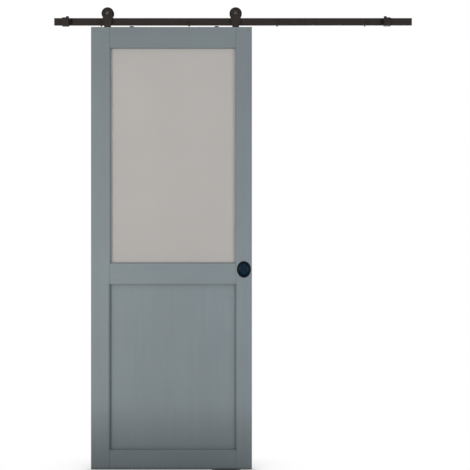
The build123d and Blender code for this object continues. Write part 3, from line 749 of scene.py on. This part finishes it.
def cone(group, low_radius, high_radius, height, start):
    """Frustum along Z that starts at a height."""
    shape = add_node(group, "GeometryNodeMeshCone", Vertices=ROUND_SIDES, Depth=height)
    fill(group, shape, "Radius Bottom", low_radius)
    fill(group, shape, "Radius Top", high_radius)
    lift = add_node(group, "ShaderNodeCombineXYZ", Z=start)
    return moved(group, shape.outputs["Mesh"], "Translation", lift.outputs[0])


def arm(group, span, width, depth, angle):
    """Long block across the screw's head, as one arm of the cross recess."""
    size = add_node(group, "ShaderNodeCombineXYZ", X=span, Y=width, Z=depth)
    shape = add_node(group, "GeometryNodeMeshCube", Size=size.outputs[0])
    return moved(group, shape.outputs["Mesh"], "Rotation", (0.0, 0.0, angle))


def boolean(group, operation, base, *others):
    """Exact union of solids, or what is left of a base when the others are taken away."""
    node = group.nodes.new("GeometryNodeMeshBoolean")
    node.operation = operation
    node.solver = "EXACT"
    if base is not None:
        group.links.new(base, node.inputs[0])
    for other in others:
        group.links.new(other, node.inputs[1])
    return node.outputs[0]


def bolt_thread_group(thread):
    """Thread of a wall bolt at each point, along the turned Z."""
    group, given, out = new_group(
        "bolt_threads",
        "GeometryNodeTree",
        [
            ("Places", "NodeSocketGeometry", None),
            ("Radius", "NodeSocketFloat", BOLT_CORE),
            ("Pitch", "NodeSocketFloat", BOLT_PITCH),
            ("Length", "NodeSocketFloat", 0.04),
            ("Turn", "NodeSocketVector", (0.0, 0.0, 0.0)),
            ("Finish", "NodeSocketMaterial", None),
        ],
        [("Threads", "NodeSocketGeometry")],
    )
    ridge = group.nodes.new("GeometryNodeGroup")
    ridge.node_tree = thread
    for name in ("Radius", "Pitch", "Length"):
        fill(group, ridge, name, given.outputs[name])
    finish_instances(group, given, out, ridge.outputs[0])
    return group


def grown(name, group, places, values):
    """Runs a node tree on a set of points and returns its result as a plain mesh object."""
    points = bpy.data.meshes.new(f"{name}_places")
    points.from_pydata([tuple(place) for place in places], [], [])
    seed = bpy.data.objects.new(f"{name}_seed", points)
    bpy.context.scene.collection.objects.link(seed)
    modifier = seed.modifiers.new("grow", "NODES")
    modifier.node_group = group
    for item in group.interface.items_tree:
        if item.item_type == "SOCKET" and item.in_out == "INPUT" and item.name in values:
            modifier[item.identifier] = values[item.name]
    bpy.context.view_layer.update()
    evaluated = seed.evaluated_get(bpy.context.evaluated_depsgraph_get())
    mesh = bpy.data.meshes.new_from_object(evaluated)
    mesh.name = name
    mesh.validate()
    bpy.data.objects.remove(seed)
    piece = bpy.data.objects.new(name, mesh)
    bpy.context.scene.collection.objects.link(piece)
    for face in mesh.polygons:
        face.use_smooth = False
    return piece


# Axes that screws lie along, and the turns that lay Z along Y or downwards
AXIS_Y = 1
AXIS_Z = 2
ALONG_Y = (-math.pi / 2, 0.0, 0.0)
ALONG_DOWN = (math.pi, 0.0, 0.0)


def screws_for(node, body, group, axis, shank, finish):
    """Replaces a node of plain screws by the same screws with recess and thread."""
    boxes = solids_of(node)
    size = boxes[0][1] - boxes[0][0]
    places = [(low + high) / 2 for low, high in boxes]
    for place, (low, high) in zip(places, boxes):
        place[axis] = high[axis] if axis == AXIS_Z else low[axis]
    piece = grown(
        f"{node}_cut",
        group,
        places,
        {
            "Head Radius": size.x / 2,
            "Shank Radius": shank,
            "Length": size[axis],
            "Tip Length": SCREW_POINT,
            "Turn": ALONG_DOWN if axis == AXIS_Z else ALONG_Y,
            "Finish": finish,
        },
    )
    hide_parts(node)
    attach(piece, body)


def wall_bolt_threads(group):
    """Thread on the stretch of each wall bolt that goes into the wall."""
    boxes = solids_of("wall_bolts")
    bolt_end = boxes[0][1].y
    thread_length = bolt_end - BOLT_BARE_END - BOLT_THREAD_START
    middles = [(low + high) / 2 for low, high in boxes]
    places = [(middle.x, BOLT_THREAD_START, middle.z) for middle in middles]
    piece = grown(
        "wall_bolt_threads",
        group,
        places,
        {"Radius": BOLT_CORE, "Length": thread_length, "Turn": ALONG_Y, "Finish": black_coat},
    )
    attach(piece, "track")


def add_fasteners():
    """Screws with recess and thread for the hangers, discs, pull and guide, and the bolts' threads."""
    thread = thread_group()
    screws = screw_group(thread)
    kinds = (
        ("hanger_screws", "door", "bright_steel", AXIS_Z, HANGER_SCREW_SHANK, zinc),
        ("retaining_disc_screws", "door", "black_steel", AXIS_Z, DISC_SCREW_SHANK, black_coat),
        ("pull_screws", "door", "pull_enamel", AXIS_Y, PULL_SCREW_SHANK, enamel),
        ("floor_guide_screws", "track", "bright_steel", AXIS_Z, GUIDE_SCREW_SHANK, zinc),
    )
    for node, body, slot, axis, shank, finish in kinds:
        screws_for(node, body, screws, axis, shank, finish)
    wall_bolt_threads(bolt_thread_group(thread))


# Room, light and camera

def pale_floor():
    """Floor that the camera sees as white, apart from the soft shade under the leaf."""
    low, high = leaf_box()
    floor_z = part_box("floor_guide")[0].z
    mesh = bpy.data.meshes.new("floor")
    half = FLOOR_HALF
    corners = ((-half, -half), (half, -half), (half, half), (-half, half))
    mesh.from_pydata([(x, y, floor_z) for x, y in corners], [], [(0, 1, 2, 3)])
    floor = bpy.data.objects.new("floor", mesh)
    bpy.context.scene.collection.objects.link(floor)
    material = bpy.data.materials.new("pale_floor")
    material.use_nodes = True
    tree = material.node_tree
    tree.nodes.clear()
    output = tree.nodes.new("ShaderNodeOutputMaterial")
    seen = add_node(tree, "ShaderNodeEmission", Color=WHITE, Strength=1.0)
    place = tree.nodes.new("ShaderNodeTexCoord").outputs["Object"]
    patches = noise(tree, place, scale=6.0)
    lit = add_node(tree, "ShaderNodeBsdfDiffuse", Roughness=0.5)
    fill(tree, lit, "Color", mix_colour(tree, patches, FLOOR_DULL, FLOOR_BRIGHT))
    mix = tree.nodes.new("ShaderNodeMixShader")
    path = tree.nodes.new("ShaderNodeLightPath")
    parts = add_node(tree, "ShaderNodeSeparateXYZ", Vector=place)
    away = maths(tree, "SUBTRACT", parts.outputs["Y"], (low.y + high.y) / 2)
    away = maths(tree, "ABSOLUTE", away)
    near = remap(tree, away, (SHADE_NEAR, SHADE_FAR), (SHADE_SHARE, 0.0))
    covered = add_node(tree, "ShaderNodeAmbientOcclusion", {"samples": 12}, Distance=SHADE_REACH)
    shade = remap(tree, covered.outputs["AO"], SHADE_OPENNESS)
    whiteness = maths(tree, "SUBTRACT", 1.0, maths(tree, "MULTIPLY", shade, near))
    camera_share = maths(tree, "MULTIPLY", path.outputs["Is Camera Ray"], whiteness)
    tree.links.new(camera_share, mix.inputs[0])
    tree.links.new(lit.outputs[0], mix.inputs[1])
    tree.links.new(seen.outputs[0], mix.inputs[2])
    tree.links.new(mix.outputs[0], output.inputs["Surface"])
    mesh.materials.append(material)


def white_world():
    """White to the camera and through the glass, and an even pale light on everything else."""
    world = bpy.data.worlds.new("studio")
    bpy.context.scene.world = world
    world.use_nodes = True
    tree = world.node_tree
    tree.nodes.clear()
    output = tree.nodes.new("ShaderNodeOutputWorld")
    white = add_node(tree, "ShaderNodeBackground", Color=WHITE, Strength=1.0)
    soft = add_node(tree, "ShaderNodeBackground", Color=SKY, Strength=SKY_STRENGTH)
    path = tree.nodes.new("ShaderNodeLightPath")
    direct = maths(tree, "MAXIMUM", path.outputs["Is Camera Ray"], path.outputs["Is Transmission Ray"])
    mix = tree.nodes.new("ShaderNodeMixShader")
    tree.links.new(direct, mix.inputs[0])
    tree.links.new(soft.outputs[0], mix.inputs[1])
    tree.links.new(white.outputs[0], mix.inputs[2])
    tree.links.new(mix.outputs[0], output.inputs["Surface"])


def soft_lamp(name, place, target, size, power, colour):
    """Area lamp at a place, turned to face a target."""
    lamp = bpy.data.lights.new(name, "AREA")
    lamp.shape = "RECTANGLE"
    lamp.size, lamp.size_y = size
    lamp.energy = power
    lamp.color = colour
    holder = bpy.data.objects.new(name, lamp)
    bpy.context.scene.collection.objects.link(holder)
    holder.location = place
    holder.rotation_mode = "QUATERNION"
    holder.rotation_quaternion = (Vector(target) - Vector(place)).to_track_quat("-Z", "Y")


def shading_card():
    """Dark card in front of the foot of the leaf: its shade is seen, and the card itself isn't."""
    low, high = leaf_box()
    floor_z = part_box("floor_guide")[0].z
    y = low.y - CARD_FORWARD
    sides = (low.x - CARD_BESIDE, high.x + CARD_BESIDE)
    mesh = bpy.data.meshes.new("shading_card")
    corners = [(x, y, z) for z in (floor_z, floor_z + CARD_HEIGHT) for x in sides]
    mesh.from_pydata(corners, [], [(0, 1, 3, 2)])
    card = bpy.data.objects.new("shading_card", mesh)
    bpy.context.scene.collection.objects.link(card)
    material, tree, _, shader = new_finish("card_black")
    fill(tree, shader, "Base Color", CARD_BLACK)
    fill(tree, shader, "Roughness", 0.9)
    mesh.materials.append(material)
    card.visible_camera = False
    card.visible_glossy = False
    card.visible_transmission = False


def light_leaf():
    """Key and fill in front of the leaf, a lamp behind it for its back, and the card at its foot."""
    low, high = leaf_box()
    middle = (low + high) / 2
    for name, lamp in LAMPS.items():
        place = (middle.x + lamp["beside"], lamp["depth"], middle.z + lamp["above"])
        target = (middle.x, middle.y, middle.z + lamp["aim_above"])
        soft_lamp(name, place, target, lamp["size"], lamp["power"], lamp["colour"])
    shading_card()


def place_camera():
    """Camera level with the middle of the picture, straight in front of the track."""
    low, high = leaf_box()
    scale = (high.z - low.z) / (LEAF_FOOT_PIXEL - LEAF_TOP_PIXEL)
    middle = IMAGE_SIDE / 2
    x = (low.x + high.x) / 2 + (middle - LEAF_MIDDLE_PIXEL) * scale
    z = high.z - (middle - LEAF_TOP_PIXEL) * scale
    data = bpy.data.cameras.new("camera")
    data.sensor_width = SENSOR
    data.lens = SENSOR * CAMERA_DISTANCE / (IMAGE_SIDE * scale)
    data.clip_end = CAMERA_REACH
    camera = bpy.data.objects.new("camera", data)
    bpy.context.scene.collection.objects.link(camera)
    camera.location = (x, low.y - CAMERA_DISTANCE, z)
    camera.rotation_euler = (math.pi / 2, 0, 0)
    bpy.context.scene.camera = camera


dress_nodes()
add_fasteners()
pale_floor()
white_world()
light_leaf()
place_camera()
bpy.context.scene.view_settings.view_transform = "Standard"
